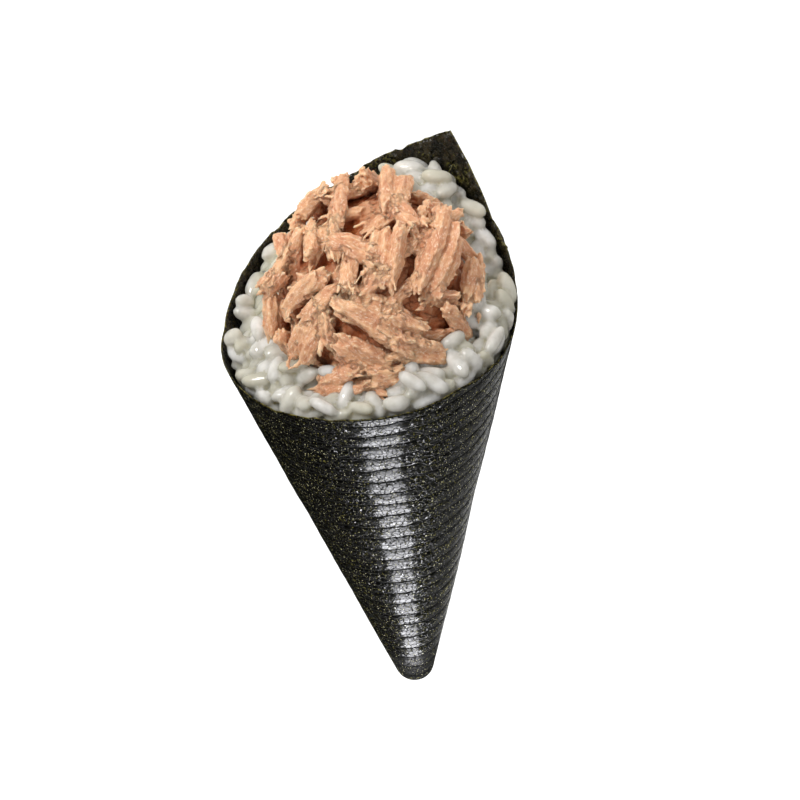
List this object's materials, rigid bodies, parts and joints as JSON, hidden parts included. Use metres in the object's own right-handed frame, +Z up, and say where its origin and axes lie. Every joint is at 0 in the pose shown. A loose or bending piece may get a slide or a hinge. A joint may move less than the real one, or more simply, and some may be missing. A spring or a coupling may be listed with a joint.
{
  "type": "temaki hand roll",
  "caption": "Hand roll: a cone of toasted seaweed sheet filled with sushi rice and heaped with flaked tuna, lying on its back.",
  "frame": {"origin": "on the narrow flat strip that the cone rests on, about half way along the roll", "axes": "+Z up as it lies, +Y from the mouth towards the tip along the line it rests on, +X across"},
  "size_m": [0.0547, 0.1269, 0.0549],
  "materials": {
    "nori": "toasted seaweed sheet, near black with a green cast and a silvery sheen, thin and brittle",
    "rice": "cooked short-grain rice, translucent white and moist",
    "tuna": "cooked tuna flakes, tan pink, fibrous and moist"
  },
  "bodies": {
    "root": {"nori_wrap": "nori", "sushi_rice": "rice", "tuna_flakes": "tuna"}
  },
  "joints": []
}
